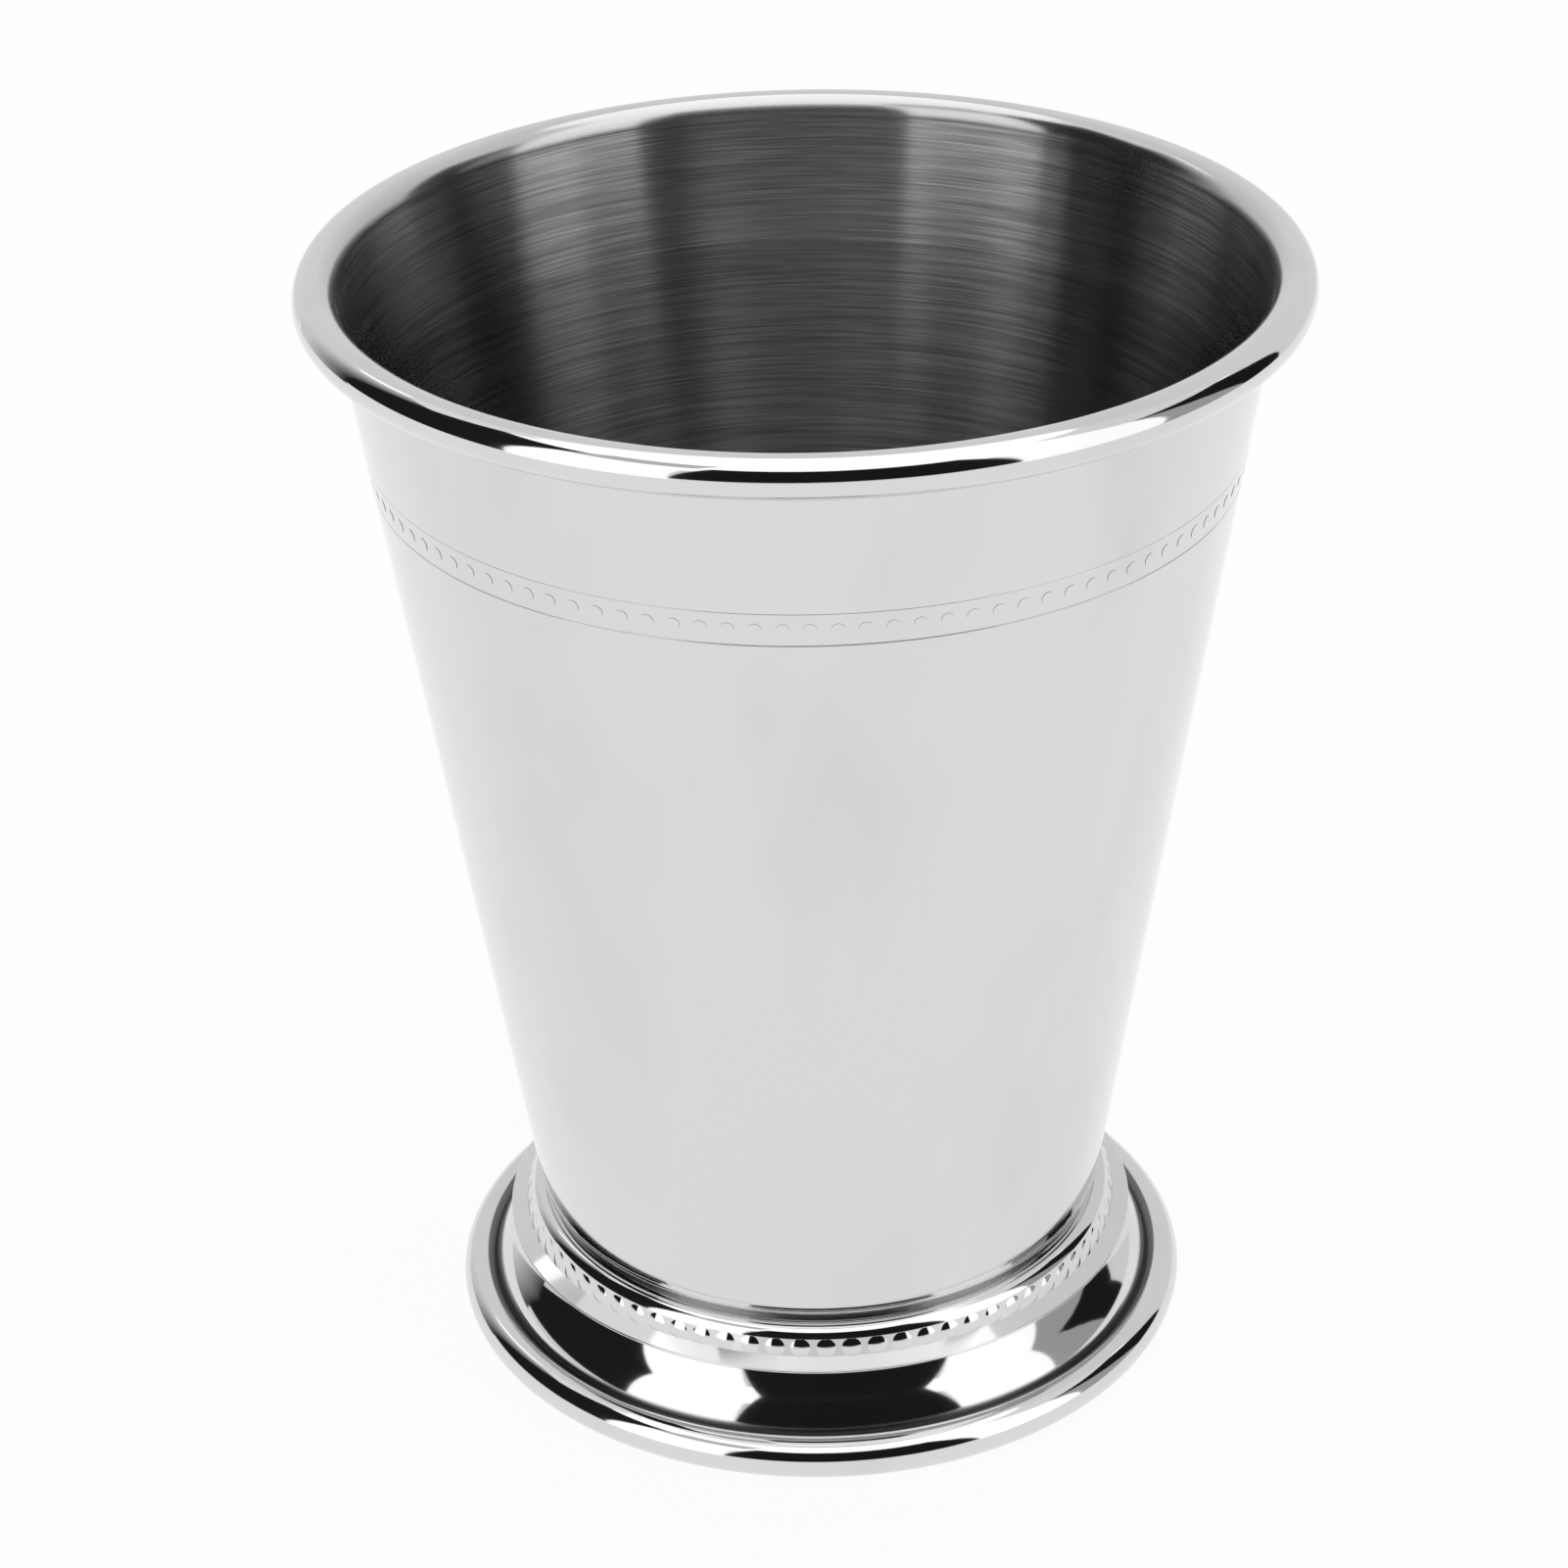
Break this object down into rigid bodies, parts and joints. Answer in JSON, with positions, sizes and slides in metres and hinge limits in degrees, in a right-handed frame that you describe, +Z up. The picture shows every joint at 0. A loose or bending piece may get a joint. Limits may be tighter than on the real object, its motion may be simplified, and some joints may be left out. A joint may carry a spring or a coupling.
{
  "type": "julep cup",
  "caption": "Tapered metal drinking cup with a rolled rim and a scribed band, on a low spreading foot with a beaded strip.",
  "frame": {"origin": "centre of the foot's underside, in the plane of the table", "axes": "+Z up along the cup's axis, from the foot to the mouth"},
  "size_m": [0.09, 0.09, 0.1076],
  "materials": {
    "polished_silver": "mirror polished, with fine hairline scratches",
    "floor_silver": "satin, with fine turning lines",
    "solder": "satin"
  },
  "bodies": {
    "root": {"cup_wall": "polished_silver", "cup_floor": "floor_silver", "rim_roll": "polished_silver", "foot_shell": "polished_silver", "bead_strip": "polished_silver", "foot_wire": "polished_silver", "solder_fillet": "solder"}
  },
  "joints": []
}
